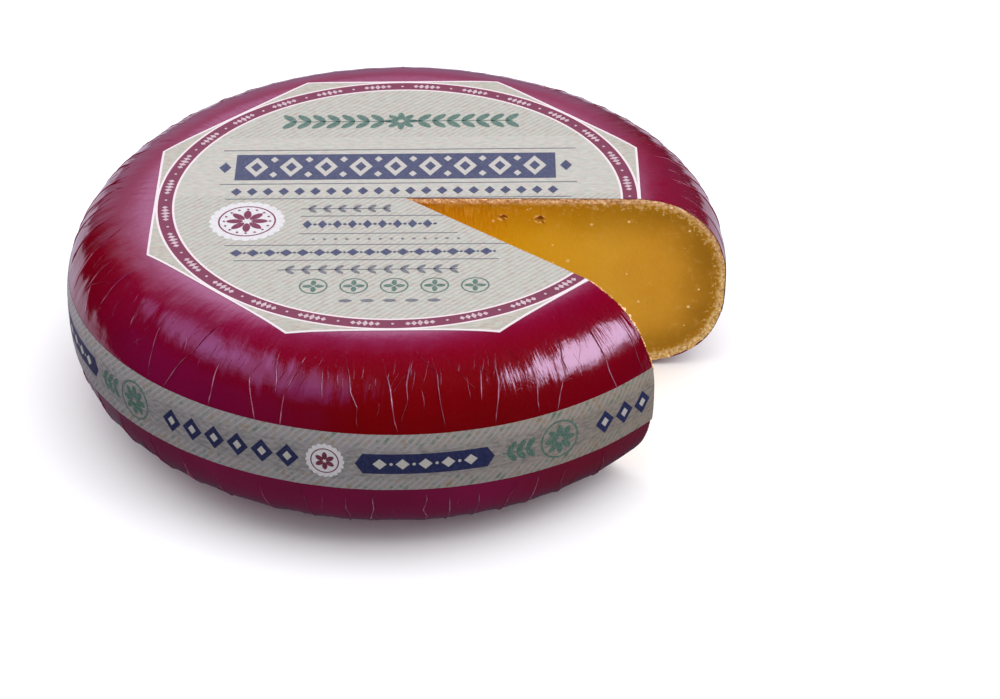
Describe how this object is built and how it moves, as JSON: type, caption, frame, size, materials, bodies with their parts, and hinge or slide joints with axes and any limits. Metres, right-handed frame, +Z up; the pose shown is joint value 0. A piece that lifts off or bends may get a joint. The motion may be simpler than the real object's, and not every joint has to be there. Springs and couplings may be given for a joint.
{
  "type": "aged gouda wheel",
  "caption": "Large round wheel of aged gouda in a thin glossy maroon coat, with a paper label on top and a paper band round its side, standing flat, with a wedge cut out to its centre.",
  "frame": {"origin": "on the wheel's axis, at the level of the flat underside that it stands on", "axes": "+Z up along the wheel's axis; +X to the right of the label's print, a little above the cut's far face; +Y away from a viewer who stands at the print's foot"},
  "size_m": [0.379, 0.3853, 0.1128],
  "materials": {
    "cheese": "dense aged cheese paste with a firm rind, waxy to the touch",
    "coating": "thin glossy maroon cheese coat with fine creases",
    "label_paper": "printed label paper stuck under the clear top of the coat",
    "band_paper": "printed kraft paper band"
  },
  "bodies": {
    "root": {"cheese": "cheese", "coating": "coating", "top_label": "label_paper", "side_band": "band_paper"}
  },
  "joints": []
}
